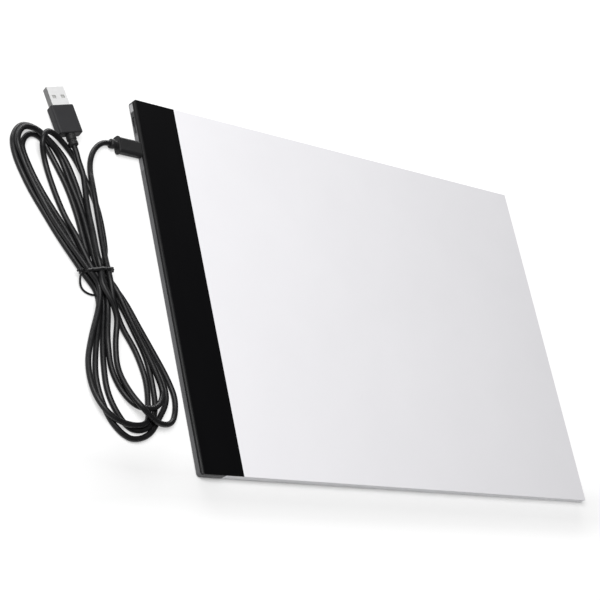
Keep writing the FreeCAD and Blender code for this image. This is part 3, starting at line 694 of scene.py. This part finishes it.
# points of the tie's twisted end in millimetres: from the twist at the hank's side along the floor
TIE_TAIL_ROUTE = [
    (-242.2, -3.4, 5.4), (-243.0, -5.6, 4.2), (-242.8, -8.6, 2.6), (-242.0, -11.6, 1.4),
    (-239.8, -14.0, 0.9), (-236.4, -15.4, 0.9), (-233.0, -15.6, 0.9), (-231.0, -15.2, 0.9),
]
TIE_TAIL_D = 0.0013
tie_tail = nurbs("tie_tail", [Vector(point) * MM for point in TIE_TAIL_ROUTE], resolution=8)
thicken(tie_tail, TIE_TAIL_D, TIE_PLASTIC)
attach(tie_tail, "lead")

TIE_WIRE_D = 0.0012
TIE_KNOTS = {
    # start and end in millimetres, radius of the twist in millimetres, turns
    "tie_knot_left": ((-244.9, -3.4, 4.6), (-241.6, -3.2, 5.9), 0.7, 1.5),
    "tie_knot_right": ((-219.9, 1.5, 5.4), (-219.3, -0.7, 4.3), 0.55, 1.0),
}
TIE_KNOT_STEPS = 14


def knot_strand(start, end, radius, turns, phase):
    """One of the two wires of a twist."""
    start, end = Vector(start) * MM, Vector(end) * MM
    axis = (end - start).normalized()
    side = axis.orthogonal().normalized()
    over = axis.cross(side)
    points = []
    for step in range(TIE_KNOT_STEPS):
        share = step / (TIE_KNOT_STEPS - 1)
        turn = math.tau * turns * share + phase
        swing = radius * MM * math.sin(math.pi * (0.15 + 0.7 * share))
        points.append(start.lerp(end, share) + (side * math.cos(turn) + over * math.sin(turn)) * swing)
    return points


for knot_name, (knot_start, knot_end, knot_radius, knot_turns) in TIE_KNOTS.items():
    for number in range(2):
        strand = knot_strand(knot_start, knot_end, knot_radius, knot_turns, math.pi * number)
        knot = nurbs(knot_name + "_" + "ab"[number], strand, resolution=3)
        thicken(knot, TIE_WIRE_D, TIE_PLASTIC)
        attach(knot, "lead")

# ---------------------------------------------------------------- floor and light

FLOOR_HALF = 4.0
FLOOR_FRONT = (0.82, 0.82, 0.82)
FLOOR_BACK = (0.5, 0.5, 0.5)
GLOW_FRONT = ((0.03, 0.03, 0.03), (0.29, 0.29, 0.29))
GLOW_BACK = ((0.5, 0.5, 0.5), (0.65, 0.65, 0.65))
GLOW_X = (-0.25, 0.25)                         # the glow rises between these
STRIP_X = ((-0.36, -0.22), (0.2, 0.34))        # ends of the dim strip, each from none to full
STRIP_Y = ((-0.15, -0.132), (-0.118, -0.1))    # its two sides, each from none to full
WORLD_GLOW = 0.14
# place, aim, size and power of each light
KEY_LIGHT = ((-0.95, 0.1, 1.2), (0.0, 0.0, 0.0), (0.9, 1.1), 24.5)
WINDOW_LIGHT = ((0.0, 1.5, 0.3), (0.0, -0.1, 0.0), (2.4, 0.3), 24.0)


def floor():
    """Pale floor that glows, less so in a strip along the pad's near edge, where its shadow falls."""
    half = FLOOR_HALF
    corners = [(-half, -half, 0), (half, -half, 0), (half, half, 0), (-half, half, 0)]
    graph = Graph("floor", (0.86, 0.86, 0.86), 0.9, specular=0.0)
    split = graph.node("ShaderNodeSeparateXYZ")
    graph.link(graph.coordinates(), split.inputs["Vector"])
    x, y = split.outputs["X"], split.outputs["Y"]
    outside = graph.largest(graph.spread(y, 0.0, 1.0, *STRIP_Y[1]), graph.spread(y, 1.0, 0.0, *STRIP_Y[0]),
                            graph.spread(x, 0.0, 1.0, *STRIP_X[1]), graph.spread(x, 1.0, 0.0, *STRIP_X[0]))
    graph.drive("Base Color", graph.blend(outside, FLOOR_FRONT, FLOOR_BACK))
    along = graph.spread(x, 0.0, 1.0, *GLOW_X)
    front = graph.blend(along, *GLOW_FRONT)
    back = graph.blend(along, *GLOW_BACK)
    graph.drive("Emission Color", graph.blend(outside, front, back))
    graph.set("Emission Strength", 1.0)
    piece = mesh_piece("floor", corners, [(0, 1, 2, 3)], graph.material, smooth=False)
    piece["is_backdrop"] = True


def area_light(name, place, aim, size, power):
    data = bpy.data.lights.new(name, "AREA")
    data.shape = "RECTANGLE"
    data.size, data.size_y = size
    data.energy = power
    light = bpy.data.objects.new(name, data)
    scene.collection.objects.link(light)
    light.location = place
    light.rotation_mode = "QUATERNION"
    light.rotation_quaternion = (Vector(aim) - Vector(place)).to_track_quat("-Z", "Y")


def studio():
    world = bpy.data.worlds.new("studio")
    world.use_nodes = True
    background = world.node_tree.nodes["Background"]
    background.inputs["Color"].default_value = (1.0, 1.0, 1.0, 1.0)
    background.inputs["Strength"].default_value = WORLD_GLOW
    scene.world = world
    area_light("key", *KEY_LIGHT)
    area_light("window", *WINDOW_LIGHT)


floor()
studio()
scene.view_settings.view_transform = "Standard"
scene.view_settings.look = "None"
